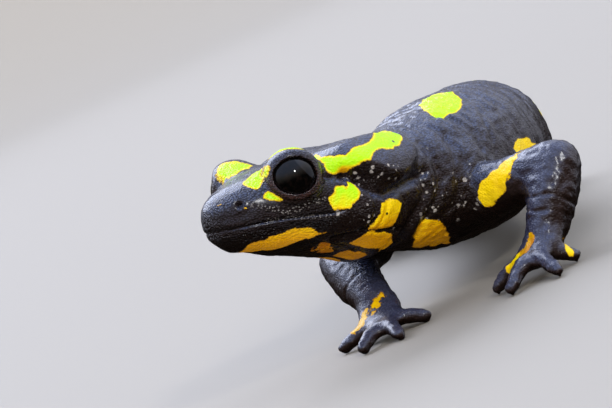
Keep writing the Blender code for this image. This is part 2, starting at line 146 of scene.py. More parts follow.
def put(points):
    """Moves the skin's vertices to these places."""
    skin.data.vertices.foreach_set("co", points.astype(np.float32).ravel())
    skin.data.update()


def outwards():
    """The skin's normals, one row for each vertex."""
    found = np.empty(len(skin.data.vertices) * 3, np.float32)
    skin.data.vertex_normals.foreach_get("vector", found)
    return found.reshape(-1, 3).astype(float)


pick_vertices(places()[:, 2] > FEET_TOP)
bpy.ops.mesh.vertices_smooth(factor=RUB, repeat=RUBS_ON_BODY)
bpy.ops.object.mode_set(mode="OBJECT")

# The body's own measure
# Every fold and patch of the skin is placed as on a real animal: millimetres back from the snout, and
# degrees round from the crown, positive down its left side. The bent line in the body is the solids' own.
SNOUT = Vector((-80.725, 1.135, 23.0))
BODY_LENGTH = 176.0
# Distance and degrees from +X towards +Y.
HEADING = (
    (0, -25.5), (22, -25.5), (28, -20), (34, -10), (41, -1), (50, 9), (60, 20), (72, 29), (86, 32),
    (98, 30), (112, 24), (128, 16), (144, 12), (160, 16), (176, 28),
)
# Distance and height over the floor.
HEIGHT = (
    (0, 23.0), (12, 20.1), (24, 17.25), (30, 15.8), (36, 14.7), (45, 13.7), (58, 12.9), (72, 11.9),
    (84, 10.7), (96, 8.6), (106, 6.5), (118, 4.9), (132, 4.0), (148, 2.9), (164, 1.75), (176, 0.9),
)
# Distance and degrees that the body leans to its left.
ROLL = ((0, 4), (24, 4), (34, 1.5), (44, 0), (176, 0))
# Distance, half width, top and bottom over and under the line, and height of the widest level.
PROFILE = (
    (0.55, 0.0, 0.0, 0.7, -0.35),
    (0.7, 0.9, 0.45, 1.3, -0.4),
    (1.1, 1.75, 0.95, 2.0, -0.5),
    (1.8, 2.65, 1.5, 3.0, -0.7),
    (2.9, 3.7, 2.1, 3.9, -0.9),
    (4.4, 4.8, 2.75, 4.6, -1.0),
    (6.5, 5.9, 3.45, 5.3, -1.1),
    (9.5, 7.0, 4.2, 6.0, -1.2),
    (13.0, 7.9, 4.8, 6.7, -1.2),
    (17.0, 8.5, 5.3, 7.4, -1.1),
    (20.5, 8.4, 5.5, 7.8, -1.0),
    (24.3, 7.7, 5.6, 7.9, -0.8),
    (28.0, 7.8, 6.1, 8.2, -0.6),
    (33.0, 8.8, 7.2, 8.8, -0.5),
    (40.0, 10.2, 8.7, 9.3, -0.5),
    (50.0, 11.1, 9.1, 9.4, -0.5),
    (62.0, 10.6, 8.2, 8.9, -0.5),
    (75.0, 9.6, 7.4, 7.9, -0.4),
    (87.0, 8.1, 6.7, 6.7, -0.2),
    (98.0, 6.2, 5.8, 5.4, 0.0),
    (110.0, 5.2, 5.1, 5.0, 0.0),
    (122.0, 4.6, 4.8, 4.9, 0.0),
    (136.0, 3.8, 4.1, 4.1, 0.0),
    (150.0, 2.8, 3.3, 3.2, 0.0),
    (163.0, 1.7, 2.2, 2.2, 0.0),
    (172.0, 0.9, 1.2, 1.4, 0.0),
    (176.0, 0.0, 0.0, 0.0, 0.0),
)
BOXINESS = 2.25
WIDEST = 16.0
LINE_STEP = 0.5
HALVINGS = 22
HEAD_MIDDLE = 12
AT_ONCE = 4000


def smooth(table, at):
    """A table of (distance, value) rows, read on a smooth curve through the rows."""
    knots, values = np.array(table, float).T
    slopes = np.gradient(values, knots)
    at = np.clip(at, knots[0], knots[-1])
    low = np.clip(np.searchsorted(knots, at, side="right") - 1, 0, len(knots) - 2)
    span = knots[low + 1] - knots[low]
    t = (at - knots[low]) / span
    start = values[low] * (1 + 2 * t) * (1 - t) ** 2 + slopes[low] * span * t * (1 - t) ** 2
    return start + values[low + 1] * t**2 * (3 - 2 * t) + slopes[low + 1] * span * t**2 * (t - 1)


def ease(low, high, value):
    """0 below low, 1 above high, and smooth between."""
    share = np.clip((value - low) / (high - low), 0, 1)
    return share * share * (3 - 2 * share)


def band(limits, value):
    """1 between the two inner limits of four, 0 outside the outer two, and smooth between."""
    return ease(limits[0], limits[1], value) * (1 - ease(limits[2], limits[3], value))


line_at = np.arange(0, BODY_LENGTH + LINE_STEP, LINE_STEP)
line_z = smooth(HEIGHT, line_at)
slope = np.gradient(line_z, line_at)
flat = np.sqrt(1 - slope**2)
heading = np.radians(smooth(HEADING, line_at))
steps_x = np.cos(heading) * flat * LINE_STEP
steps_y = np.sin(heading) * flat * LINE_STEP
line_x = SNOUT.x + np.concatenate([[0], np.cumsum(steps_x[:-1])])
line_y = SNOUT.y + np.concatenate([[0], np.cumsum(steps_y[:-1])])
line = np.stack([line_x, line_y, line_z], axis=1)
back_way = np.stack([np.cos(heading) * flat, np.sin(heading) * flat, slope], axis=1)
level_left = np.stack([np.sin(heading), -np.cos(heading), 0 * heading], axis=1)
lean = np.radians(smooth(ROLL, line_at))[:, None]
left_way = level_left * np.cos(lean) + np.cross(back_way, level_left) * np.sin(lean)
up_way = np.cross(left_way, back_way)


def measure(points):
    """Distance back, degrees from the crown, distance out and way out of points in metres."""
    points = points / MM
    nearest = np.empty(len(points), int)
    for start in range(0, len(points), AT_ONCE):
        part = points[start : start + AT_ONCE]
        apart = ((part[:, None, :] - line[None, :, :]) ** 2).sum(axis=2)
        nearest[start : start + AT_ONCE] = apart.argmin(axis=1)
    off = points - line[nearest]
    along = (off * back_way[nearest]).sum(axis=1)
    left = (off * left_way[nearest]).sum(axis=1)
    up = (off * up_way[nearest]).sum(axis=1)
    out = np.hypot(left, up)
    way = left_way[nearest] * left[:, None] + up_way[nearest] * up[:, None]
    way /= np.maximum(out, 0.01)[:, None]
    return line_at[nearest] + along, np.degrees(np.arctan2(left, up)), out, way


def plain_girth(back, degrees):
    """How far out the body's plain form reaches, in millimetres, without its swellings."""
    columns = range(1, len(PROFILE[0]))
    half_width, top, bottom, waist = (smooth([(row[0], row[k]) for row in PROFILE], back) for k in columns)
    sine, cosine = np.sin(np.radians(degrees)), np.cos(np.radians(degrees))
    low, high = np.zeros(len(back)), np.full(len(back), WIDEST)
    for _ in range(HALVINGS):
        middle = (low + high) / 2
        up = middle * cosine - waist
        reach = np.maximum(np.where(up > 0, top - waist, bottom + waist), 0.01)
        across = np.abs(middle * sine) / np.maximum(half_width, 0.01)
        outside = across**BOXINESS + (np.abs(up) / reach) ** BOXINESS > 1
        high = np.where(outside, middle, high)
        low = np.where(outside, low, middle)
    return low


head_step = int(HEAD_MIDDLE / LINE_STEP)
head_back, head_left, head_up = (Vector(way[head_step]) for way in (back_way, left_way, up_way))
head_tip = Vector(line[head_step]) - head_back * HEAD_MIDDLE


def on_head(points):
    """Millimetres back, left and up from the snout tip, along the head's own directions."""
    off = points / MM - np.array(head_tip)
    return off @ np.array(head_back), off @ np.array(head_left), off @ np.array(head_up)


# Finer net
# The net is halved over the head, neck and forelegs, where the folds are finest, and halved again round the
# eyes, along the mouth and at the nostrils.
FRONT_END = -41.0 * MM
LID_ZONE = 4.9 * MM
MOUTH_ZONE = 0.8
MOUTH_CORNER = 14.2
# Millimetres back and up, the same way.
MOUTH_LINE = ((0, -2.15), (2, -2.25), (5, -2.17), (7.5, -2.22), (10, -2.36), (12.8, -2.5), (15, -2.4))
# Millimetres back, left and up, along the head's own directions.
NOSTRILS = ((2.9, 3.55, 0.26), (2.9, -3.55, 0.26))
NOSTRIL_ZONE = 1.1
RUBS_ON_FINE_NET, RUBS_ON_FINEST_NET = 4, 3

pick_vertices(places()[:, 0] < FRONT_END)
bpy.ops.mesh.subdivide(number_cuts=1, smoothness=0)
bpy.ops.mesh.vertices_smooth(factor=RUB, repeat=RUBS_ON_FINE_NET)
bpy.ops.object.mode_set(mode="OBJECT")
points = places()
head_b, head_l, head_u = on_head(points)
fine = (np.abs(head_u - smooth(MOUTH_LINE, head_b)) < MOUTH_ZONE) & (head_b < MOUTH_CORNER + 1)
for centre in eye_centres.values():
    fine |= np.linalg.norm(points - np.array(centre), axis=1) < LID_ZONE
for nostril in NOSTRILS:
    fine |= np.linalg.norm(np.stack([head_b, head_l, head_u], axis=1) - nostril, axis=1) < NOSTRIL_ZONE
pick_vertices(fine)
bpy.ops.mesh.subdivide(number_cuts=1, smoothness=0)
bpy.ops.mesh.vertices_smooth(factor=RUB, repeat=RUBS_ON_FINEST_NET)
bpy.ops.object.mode_set(mode="OBJECT")

# Body's form
# Muscle, throat and hips swell softly under the skin, and the neck gland behind each eye stands out over a
# steep lower edge. The skin is drawn exactly over this form, so that the solids' flat faces don't show.
# Each swelling: middle and reach in millimetres back, middle and reach in degrees round, and height.
SWELLINGS = (
    (2.8, 3.6, 180.0, 80.0, 0.6),
    (17.5, 5.0, 112.0, 34.0, 0.7),
    (24.3, 1.5, 180.0, 118.0, -0.5),
    (20.5, 4.5, 180.0, 60.0, 0.7),
    (33.0, 5.5, 112.0, 46.0, 1.0),
    (88.5, 7.0, 108.0, 50.0, 1.0),
    (97.0, 5.5, 180.0, 52.0, 1.0),
)
# Millimetres back and degrees round.
GLAND = (
    (12.8, 58), (13.6, 73), (15.7, 78), (17.4, 84), (18.9, 90), (20.3, 94), (21.9, 96), (23.7, 93),
    (25.5, 84), (26.7, 68), (27.0, 50), (26.0, 34), (22.0, 27), (17.0, 28), (13.8, 40),
)
GLAND_RISE = 1.75
GLAND_TOP, GLAND_FOOT = 45, 75
GLAND_EDGE_LOW, GLAND_EDGE_HIGH = 1.5, 3.6
# Where the skin is drawn over the form: four limits along the body, and two out from an eye's middle.
BODY_DRAWN = (0.9, 2.2, 160.0, 168.0)
EYE_FREE, EYE_DRAWN = 3.3, 4.6
SNOUT_RUBBED, RUBS_ON_SNOUT = 3.4, 30
LEG_NEAR, LEG_FREE = 0.45, 1.5
# Millimetres back, and how far out the skin lies there on average.
GIRTH = (
    (0, 2), (4, 4.5), (10, 6.5), (17, 7.8), (28, 7.6), (40, 10), (55, 10.6), (75, 9), (98, 6),
    (122, 4.7), (150, 3), (176, 0.8),
)


def unroll(back, degrees, middle):
    """Places on the skin laid flat: millimetres back, and millimetres round from a middle angle."""
    turned = (np.asarray(degrees) - middle + 180) % 360 - 180
    return np.stack([back, np.radians(turned) * np.interp(back, *np.array(GIRTH, float).T)], axis=1)


def inside_by(outline, back, degrees):
    """How far inside an outline on the skin each place lies, in millimetres, less than zero outside it."""
    corners = np.array(outline, float)
    middle = corners[:, 1].mean()
    ends = unroll(corners[:, 0], corners[:, 1], middle)
    here = unroll(back, degrees, middle)
    nearest = np.full(len(back), np.inf)
    crossings = np.zeros(len(back), int)
    for start, end in zip(ends, np.roll(ends, -1, axis=0)):
        edge = end - start
        share = np.clip(((here - start) @ edge) / (edge @ edge), 0, 1)
        nearest = np.minimum(nearest, np.linalg.norm(here - start - share[:, None] * edge, axis=1))
        spans = (start[1] > here[:, 1]) != (end[1] > here[:, 1])
        height = end[1] - start[1] if end[1] != start[1] else 1e-9
        meets = start[0] + (here[:, 1] - start[1]) / height * edge[0]
        crossings += spans & (here[:, 0] < meets)
    return np.where(crossings % 2 == 1, nearest, -nearest)


def from_chain(chain, back, degrees):
    """Distance of each place from a line of (back, degrees) points on the skin, in millimetres."""
    corners = np.array(chain, float)
    middle = corners[:, 1].mean()
    ends = unroll(corners[:, 0], corners[:, 1], middle)
    here = unroll(back, degrees, middle)
    nearest = np.full(len(back), np.inf)
    for start, end in zip(ends, ends[1:]):
        edge = end - start
        share = np.clip(((here - start) @ edge) / (edge @ edge), 0, 1)
        nearest = np.minimum(nearest, np.linalg.norm(here - start - share[:, None] * edge, axis=1))
    return nearest


def mirrored(outline):
    return tuple((back, -degrees) for back, degrees in outline)


def swell(offset):
    """1 at the middle, 0 at 1 either side, and smooth between."""
    return np.where(np.abs(offset) < 1, np.cos(np.clip(offset, -1, 1) * math.pi / 2) ** 2, 0.0)


points = places()
back, degrees, out, way = measure(points)
turn = np.abs(degrees)
form = plain_girth(back, degrees)
for at, reach, middle, width, height in SWELLINGS:
    form += height * swell((back - at) / reach) * swell((turn - middle) / width)
gland_edge = GLAND_EDGE_HIGH + (GLAND_EDGE_LOW - GLAND_EDGE_HIGH) * ease(GLAND_TOP, GLAND_FOOT, turn)
for outline in (GLAND, mirrored(GLAND)):
    form += GLAND_RISE * ease(-0.4, gland_edge, inside_by(outline, back, degrees))
drawn = 1 - ease(LEG_NEAR, LEG_FREE, out - form)
drawn *= band(BODY_DRAWN, back)
for centre in eye_centres.values():
    drawn *= ease(EYE_FREE, EYE_DRAWN, np.linalg.norm(points - np.array(centre), axis=1) / MM)
put(points + way * ((form - out) * drawn)[:, None] * MM)
pick_vertices(on_head(places())[0] < SNOUT_RUBBED)
bpy.ops.mesh.vertices_smooth(factor=RUB, repeat=RUBS_ON_SNOUT)
bpy.ops.object.mode_set(mode="OBJECT")

# Lids
# Thick rolled lids ring each bulging eyeball, open in an oval that the eyeball fills, with a crease round
# them. Sizes are in millimetres. CREASE_AT, CREASE_REACH, LID_MELTS, LID_ENDS and SOCKET_EDGE are shares of
# the opening's own half length and half height.
EYE_GAZE = (-0.45, 0.85, 0.14)
LID_OPENING = (2.62, 2.17)
LID_MARGIN = 0.26
LID_ROLL = 0.66
LID_CREASE, CREASE_AT, CREASE_REACH = 0.26, 1.34, 0.07
LID_MELTS = (1.36, 1.8)
LID_ENDS, LID_DISTANCE = 2.6, 5.2
SOCKET_DEPTH, SOCKET_EDGE = 0.9, (0.93, 1.05)

eye_ways = {}
for side in (1, -1):
    gaze = (head_back * EYE_GAZE[0] + head_left * side * EYE_GAZE[1] + head_up * EYE_GAZE[2]).normalized()
    across = head_up.cross(gaze).normalized()
    eye_ways[side] = (across, gaze.cross(across), gaze)


def round_eye(points, side):
    """Millimetres across, up and out from an eye's middle, and how many lid openings away from its gaze."""
    off = (points - np.array(eye_centres[side])) / MM
    across, over, out = (off @ np.array(way) for way in eye_ways[side])
    return across, over, out, np.hypot(across / LID_OPENING[0], over / LID_OPENING[1])


points = places()
eyeball = eye_radius / MM
for side in (1, -1):
    across, over, out, openings = round_eye(points, side)
    distance = np.sqrt(across**2 + over**2 + out**2)
    near = (out > -0.4) & (distance < LID_DISTANCE)
    roll = LID_MARGIN + (LID_ROLL - LID_MARGIN) * ease(1.0, CREASE_AT, openings)
    crease = LID_CREASE * np.exp(-(((openings - CREASE_AT) / CREASE_REACH) ** 2))
    crease *= 1 - ease(-0.6, 1.2, over)
    melt = ease(*LID_MELTS, openings)
    shape = (eyeball + roll) * (1 - melt) + distance * melt - crease
    growth = (shape / np.maximum(distance, 0.1))[:, None] - 1
    moved = points + growth * (points - np.array(eye_centres[side]))
    points = np.where((near & (openings < LID_ENDS))[:, None], moved, points)
    inside = np.sqrt(np.maximum(eyeball**2 - across**2 - over**2, 0.01)) - SOCKET_DEPTH
    sunk = points + (inside - out)[:, None] * MM * np.array(eye_ways[side][2])
    depth = 1 - ease(*SOCKET_EDGE, openings)
    points = np.where((near & (openings < 1.1))[:, None], points + (sunk - points) * depth[:, None], points)
put(points)

# Lips, nostrils and folds
# The mouth closes in one thin line between slightly full lips. Deep creases run under the gland and behind
# the jaws, the throat is folded, and shallow upright grooves mark the ribs between fore and hind legs.
MOUTH_WIDTH, MOUTH_DEPTH = 0.12, 0.34
# The share of its depth that the mouth has at the tip, and where it starts to deepen and is at its deepest.
MOUTH_AT_TIP, MOUTH_DEEPENS = 0.25, (1, 5)
# The chin stands out this far, from these heights under the mouth, up to these distances back.
CHIN_FRONT, CHIN_UNDER, CHIN_ENDS = 0.3, (0.0, 1.3), (1.0, 3.4)
LIP_FULLNESS, LIP_AT, LIP_WIDTH = 0.04, 0.6, 0.35
NOSTRIL_WIDTH, NOSTRIL_DEPTH = 0.3, 0.5
NOSTRIL_RIM, RIM_AT, RIM_WIDTH = 0.05, 0.65, 0.24
# Each fold: half width and depth in millimetres, and the line that it follows down the left side.
FOLDS = (
    (
        0.5,
        0.75,
        ((15.0, 79), (15.9, 83), (16.9, 88), (18.1, 95), (19.6, 100), (21.8, 99), (24.2, 96), (26.6, 90)),
    ),
    (0.3, 0.3, ((12.6, 76), (13.6, 79), (14.6, 80), (15.4, 79))),
    (
        0.42,
        0.4,
        ((16.4, 86), (17.4, 92), (17.9, 100), (18, 108), (17.7, 115), (17, 122), (15.8, 127), (13.4, 133)),
    ),
    (
        0.7,
        0.6,
        (
            (25.9, 98), (26.2, 106), (25.8, 116), (25.0, 126),
            (24.4, 138), (24.2, 152), (24.3, 166), (24.3, 180),
        ),
    ),
    (0.3, 0.3, ((17.2, 125), (18.6, 127), (20.2, 129), (21.6, 131), (22.8, 136))),
    (0.5, 0.35, ((27.9, 62), (28.1, 78), (28.6, 94), (28.2, 108), (27.4, 120), (26.6, 134), (26.6, 150))),
    (0.5, 0.3, ((30.9, 50), (31.2, 66), (31.6, 82), (31.2, 96), (30.4, 110), (29.6, 124))),
    (0.45, 0.22, ((33.6, 40), (34.2, 56), (34.9, 72), (34.8, 86))),
    (0.4, 0.25, ((22.6, 104), (23.2, 112), (22.8, 121), (22.9, 131), (22.2, 142), (22.2, 156))),
    (0.35, 0.2, ((19.6, 108), (19.2, 115), (18.6, 122))),
    (0.35, 0.18, ((11.0, 140), (13.0, 141), (15.2, 145), (17.2, 152))),
)
RIB_FIRST, RIB_PITCH, RIB_COUNT, RIB_WIDTH, RIB_DEPTH, RIB_WANDER = 38.5, 4.3, 11, 0.75, 0.17, 0.8
TAIL_FIRST, TAIL_PITCH, TAIL_COUNT, TAIL_DEPTH = 103.0, 4.8, 12, 0.16
SPINE_FURROW, FURROW_DEGREES = 0.2, 9
# Four limits each: degrees from the crown of the grooves on ribs and tail, and millimetres back of the rest.
RIB_REACH, TAIL_REACH = (38, 66, 128, 156), (20, 50, 140, 160)
FURROW_REACH, WRINKLE_REACH = (30, 38, 120, 150), (24, 31, 96, 104)
# Millimetres over the average girth where the trunk turns into a leg.
TRUNK_ENDS = (1.5, 3.0)
# Wrinkles stretched round the body: waves to the millimetre along it, share of that round it, and depth.
WRINKLE_WAVES, WRINKLE_STRETCH, WRINKLE_DEPTH = 0.42, 0.22, 0.24
WRINKLE_SHARPNESS = 2.2
# Dents all over: waves to the millimetre and height.
BROAD_WAVES, BROAD_HEIGHT = 0.35, 0.12
RIPPLE_WAVES, RIPPLE_HEIGHT_ON_HEAD, RIPPLE_HEIGHT_MORE_BEHIND = 1.3, 0.05, 0.1
FLAT_FEET = 0.8 * MM
# Upper and lower end of each lower leg, in millimetres of the frame, and where along it the skin creases.
LEG_CREASES = (
    ((-54.7, -30.7, 10.8), (-58.9, -27.5, 4.3), (0.58, 0.78)),
    ((-53.8, -0.1, 8.6), (-60.3, -5.1, 4.0), (0.72,)),
    ((3.0, -7.7, 8.9), (9.3, -6.9, 4.2), (0.75,)),
    ((1.9, 18.9, 9.0), (9.5, 19.5, 4.2), (0.75,)),
)
LEG_REACH, CREASE_WIDTH, CREASE_DEPTH, CREASE_WANDER = 4.0, 0.16, 0.16, 0.25

points = places()
back, degrees, out, _ = measure(points)
head_b, head_l, head_u = on_head(points)
turn = np.abs(degrees)
on_trunk = 1 - ease(*TRUNK_ENDS, out - np.interp(back, *np.array(GIRTH, float).T))
rise = np.zeros(len(points))
for width, depth, chain in FOLDS:
    for path in (chain, mirrored(chain)):
        rise -= depth * np.exp(-((from_chain(path, back, degrees) / width) ** 2)) * on_trunk
for number in range(RIB_COUNT):
    at = RIB_FIRST + number * RIB_PITCH + RIB_WANDER * np.sin(np.radians(turn) * 2 + number * 1.7)
    rise -= RIB_DEPTH * np.exp(-(((back - at) / RIB_WIDTH) ** 2)) * band(RIB_REACH, turn) * on_trunk
for number in range(TAIL_COUNT):
    at = TAIL_FIRST + number * TAIL_PITCH
    rise -= TAIL_DEPTH * np.exp(-(((back - at) / RIB_WIDTH) ** 2)) * band(TAIL_REACH, turn) * on_trunk
for upper, lower, shares in LEG_CREASES:
    upper, lower = np.array(upper), np.array(lower)
    length = np.linalg.norm(lower - upper)
    off = points / MM - upper
    along = off @ (lower - upper) / length
    near = np.linalg.norm(off - (along / length)[:, None] * (lower - upper), axis=1) < LEG_REACH
    for share in shares:
        at = share * length + CREASE_WANDER * np.sin(points[:, 1] / MM * 1.3)
        rise -= CREASE_DEPTH * np.exp(-(((along - at) / CREASE_WIDTH) ** 2)) * near
rise -= SPINE_FURROW * np.exp(-((turn / FURROW_DEGREES) ** 2)) * band(FURROW_REACH, back)
lips = head_u - smooth(MOUTH_LINE, head_b)
in_mouth = (1 - ease(MOUTH_CORNER - 1.2, MOUTH_CORNER + 0.4, head_b)) * (back < 20)
deepened = MOUTH_AT_TIP + (1 - MOUTH_AT_TIP) * ease(*MOUTH_DEEPENS, head_b)
rise -= MOUTH_DEPTH * np.exp(-((lips / MOUTH_WIDTH) ** 2)) * in_mouth * deepened
rise += CHIN_FRONT * ease(*CHIN_UNDER, -lips) * (1 - ease(*CHIN_ENDS, head_b))
rise += LIP_FULLNESS * np.exp(-(((np.abs(lips) - LIP_AT) / LIP_WIDTH) ** 2)) * in_mouth
for nostril in NOSTRILS:
    apart = np.linalg.norm(np.stack([head_b, head_l, head_u], axis=1) - nostril, axis=1)
    rise -= NOSTRIL_DEPTH * np.exp(-((apart / NOSTRIL_WIDTH) ** 2))
    rise += NOSTRIL_RIM * np.exp(-(((apart - RIM_AT) / RIM_WIDTH) ** 2))
unevenness = np.array([noise.noise(Vector(point / MM) * BROAD_WAVES) for point in points])
ripple = np.array([noise.noise(Vector(point / MM) * RIPPLE_WAVES) for point in points])
round_mm = np.radians(degrees) * np.interp(back, *np.array(GIRTH, float).T)
laid_flat = np.stack([back, round_mm * WRINKLE_STRETCH, 0 * back], axis=1) * WRINKLE_WAVES
wrinkled = np.array([noise.noise(Vector(spot)) for spot in laid_flat])
wrinkle = (1 - np.abs(wrinkled) * WRINKLE_SHARPNESS) * band(WRINKLE_REACH, back) * on_trunk
away_from_eyes = np.ones(len(points))
for side in (1, -1):
    _, _, out_way, openings = round_eye(points, side)
    far = np.where(out_way > 0, ease(1.7, 2.3, openings), 1)
    away_from_eyes = np.minimum(away_from_eyes, far)
ripple *= RIPPLE_HEIGHT_ON_HEAD + RIPPLE_HEIGHT_MORE_BEHIND * ease(20, 30, back)
rise += (BROAD_HEIGHT * unevenness + ripple) * away_from_eyes
rise -= WRINKLE_DEPTH * np.maximum(wrinkle, 0) ** 3
rise[points[:, 2] < FLAT_FEET] *= 0.3
points = points + outwards() * rise[:, None] * MM
points[:, 2] = np.maximum(points[:, 2], 0)
put(points)

# Yellow patches
# A grown fire salamander keeps its patches for life, and no two are alike: a band over each neck gland,
# patches on lids, cheeks and jaws, one on each leg's root, and two broken rows down the back to the tail.
# Each outline starts with its warmth, from below 0 for lime to 1 for a worn orange-brown. Its points are
# millimetres back and degrees round.
LEFT_HEAD = (
    (
        -0.5,
        (
            (14.2, 46), (13.9, 56), (14.5, 62), (15.5, 65), (16.4, 62), (17.2, 60), (18.3, 60),
            (19.4, 58), (20.6, 54), (23.0, 38), (26.6, 14), (27.4, 17), (27.3, 25), (26.6, 40),
            (25.4, 52), (24.4, 60), (23.7, 65), (23.0, 67), (21.5, 69), (20.1, 67), (19.4, 68),
            (18.8, 70), (17.9, 74), (16.7, 75), (15.7, 76), (15.1, 76), (13.8, 76), (13.3, 74),
            (13.2, 70), (13.3, 63), (13.2, 52), (13.6, 46),
        ),
    ),
    (
        -0.3,
        (
            (7.1, 45.5), (7.6, 47), (8.3, 48.5), (8.9, 51), (9.5, 53.5), (10.5, 54.5), (11.6, 54),
            (12.4, 50), (12, 42), (10.8, 36), (9.2, 34), (7.9, 38), (7.2, 42.5),
        ),
    ),
    (
        -0.5,
        (
            (4.4, 59), (4.4, 50), (4.5, 42), (5.3, 38), (6.0, 31), (6.7, 27), (7.6, 21), (8.2, 21),
            (7.4, 36), (6.9, 45), (6.5, 51), (6.45, 54), (6.35, 57.5), (6.0, 63), (5.5, 68),
            (5.0, 70), (4.7, 66),
        ),
    ),
    (
        -0.7,
        (
            (5.1, 83), (5.5, 78), (5.9, 77), (6.1, 81), (6.3, 84), (6.6, 88), (6.9, 91), (6.6, 92),
            (6.0, 91), (5.5, 89), (5.1, 86),
        ),
    ),
    (
        -0.25,
        (
            (12.3, 95), (12.6, 93), (13.1, 91), (13.2, 88), (13.5, 86), (14.1, 86), (14.5, 86),
            (14.6, 89), (14.8, 88), (15.0, 85), (15.4, 84), (15.7, 86), (16.0, 90), (16.1, 95),
            (15.7, 100), (14.9, 103), (14.5, 106), (13.1, 106), (12.8, 107), (12.3, 101),
            (12.2, 97),
        ),
    ),
    (
        0.15,
        (
            (4.6, 192), (3.9, 169), (3.8, 151), (4.6, 142), (5.5, 134), (6.6, 127), (7.6, 122),
            (8.4, 119), (9.2, 118), (10.1, 120), (11.2, 124), (12.3, 125), (11.6, 127), (10.9, 130),
            (9.9, 134), (9.0, 140), (8.3, 149), (7.7, 159), (6.6, 168), (5.8, 192),
        ),
    ),
    (
        0.95,
        (
            (11.5, 144), (12.1, 139), (13.2, 139), (14.2, 140),
            (15.1, 142), (15.5, 152), (15.4, 165), (12.2, 156),
        ),
    ),
    (0.6, ((16.3, 157), (17.6, 154), (19.0, 151), (20.0, 160), (19.8, 169), (18.9, 178), (16.8, 173))),
    (
        0.05,
        (
            (18.5, 104), (18.5, 108), (18.3, 112), (17.8, 117), (17.4, 121), (17.4, 125),
            (18.3, 126), (20.1, 128), (21.1, 128), (21.5, 124), (22.0, 116), (22.3, 111),
            (21.6, 106), (20.5, 104), (19.2, 104),
        ),
    ),
    (
        0.25,
        (
            (15.9, 139), (16.0, 135), (16.3, 130), (16.9, 127), (17.6, 126), (18.8, 127),
            (20.2, 129), (21.3, 133), (22.4, 140), (23.2, 150), (23.0, 160), (21.5, 160),
            (21.1, 151), (19.7, 151), (18.3, 148), (17.2, 145),
        ),
    ),
    (
        0.1,
        (
            (26.9, 132), (27.4, 132), (28.3, 133), (28.9, 136), (30.0, 143), (31.6, 154),
            (33.3, 164), (34.9, 175), (31, 176), (28.4, 172), (26.7, 154), (26.1, 143), (26.2, 137),
        ),
    ),
)
LEFT_BODY = (
    (
        -0.3,
        (
            (37.0, 12), (39.0, 9), (42.0, 6), (43.2, 11), (43.3, 18), (42.9, 25), (40.9, 34),
            (39.9, 41), (38.0, 47), (36.7, 50), (35.7, 50), (34.3, 48), (33.2, 48), (33.1, 43),
            (33.5, 35), (34.4, 26),
        ),
    ),
    (
        -0.1,
        (
            (40.0, 94), (40.6, 91), (41.6, 90), (43.0, 91), (44.1, 93), (44.2, 96), (45.0, 98),
            (48.4, 101), (46.4, 101), (43.9, 100), (40.3, 100), (39.9, 97),
        ),
    ),
)
RIGHT_LID = (
    (7.3, -48), (7.9, -46), (8.4, -43), (8.9, -39), (9.6, -36), (10.2, -34), (10.5, -31),
    (10.2, -28), (9.5, -27), (8.4, -28), (7.6, -31), (6.9, -37), (6.8, -43), (6.6, -48), (6.4, -53),
    (6.7, -51), (6.9, -48.5),
)
# These of the left head's outlines lie on the right too, a little shifted, as no two sides are alike.
MIRRORED_ON_RIGHT = (0, 4, 7, 8, 9)
MIRROR_STRETCH, MIRROR_SHIFT, MIRROR_TURN = 0.96, 0.7, 1.03
# Millimetres back, degrees round, half length, half width and turn of the spots that the photo doesn't show.
SPOTS = (
    (58, 26, 3.4, 2.0, 15),
    (64, 25, 4.6, 2.2, -10),
    (74, 35, 3.0, 1.9, 20),
    (83, 27, 4.2, 2.0, 0),
    (92, 38, 2.6, 1.6, 10),
    (101, 29, 3.4, 1.6, -8),
    (110, 37, 2.6, 1.3, 5),
    (119, 28, 3.6, 1.3, 0),
    (130, 34, 2.4, 1.0, 8),
    (139, 25, 3.0, 1.0, 0),
    (150, 30, 2.2, 0.8, 0),
    (160, 18, 2.4, 0.6, 0),
    (57, 84, 1.7, 1.2, 30),
    (68, 93, 2.2, 1.3, -20),
    (79, 80, 1.4, 1.0, 0),
    (36, -56, 4.0, 2.2, -12),
    (47, -50, 3.4, 2.1, 14),
    (57, -42, 4.2, 2.1, 0),
    (67, -40, 3.4, 2.0, -16),
    (75, -27, 4.2, 2.2, 8),
    (86, -34, 3.0, 1.8, 0),
    (95, -27, 3.2, 1.6, 0),
    (105, -36, 2.8, 1.4, 0),
    (114, -28, 3.2, 1.3, 0),
    (125, -34, 2.6, 1.2, 0),
    (135, -26, 3.0, 1.0, 0),
    (146, -32, 2.0, 0.9, 0),
    (155, -22, 2.6, 0.7, 0),
    (166, -10, 1.6, 0.5, 0),
    (29, -84, 1.8, 1.2, 20),
    (42, -98, 2.2, 1.4, -15),
    (60, -82, 1.8, 1.2, 0),
    (72, -95, 2.0, 1.4, 20),
    (83, -82, 1.4, 1.0, 0),
    (13.6, 34, 0.9, 0.28, 70),
)
# The same, for the two small rust-coloured dots of the left snout.
RUST_DOTS = ((1.5, 69, 0.3, 0.24, 0), (3.3, 95, 0.26, 0.2, 20))
